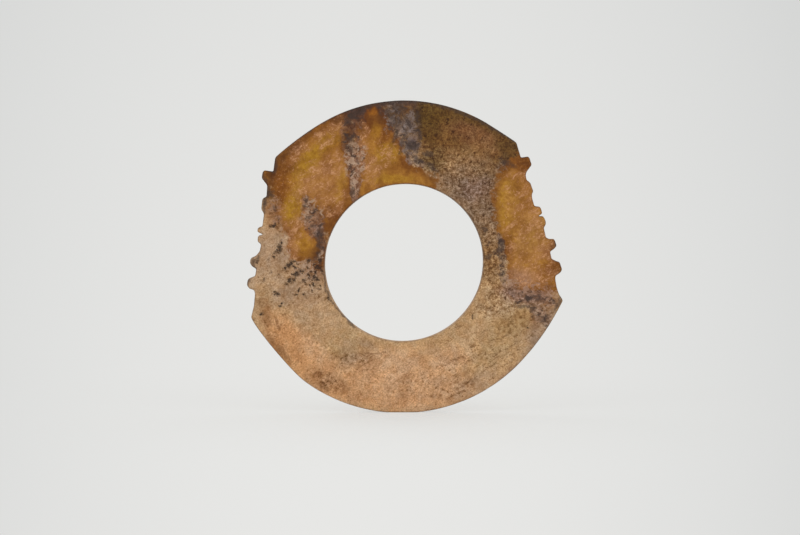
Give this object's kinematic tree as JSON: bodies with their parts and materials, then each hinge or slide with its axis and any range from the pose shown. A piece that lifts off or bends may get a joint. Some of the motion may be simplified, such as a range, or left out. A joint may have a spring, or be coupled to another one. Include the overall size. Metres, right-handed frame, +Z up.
{
  "type": "notched jade disc",
  "caption": "Flat ring of mottled amber and brown jade with a wide round bore and opposite straight sides cut into small teeth, standing on its edge.",
  "frame": {"origin": "on the surface that the disc stands on, under the centre of its bore and midway through its thickness", "axes": "+Z up through the bore's centre, +X to the right of someone who looks at the pictured face, -Y out of that face"},
  "size_m": [0.1419, 0.006, 0.1404],
  "materials": {
    "jade": "satin"
  },
  "bodies": {
    "root": {"jade_disc": "jade"}
  },
  "joints": []
}
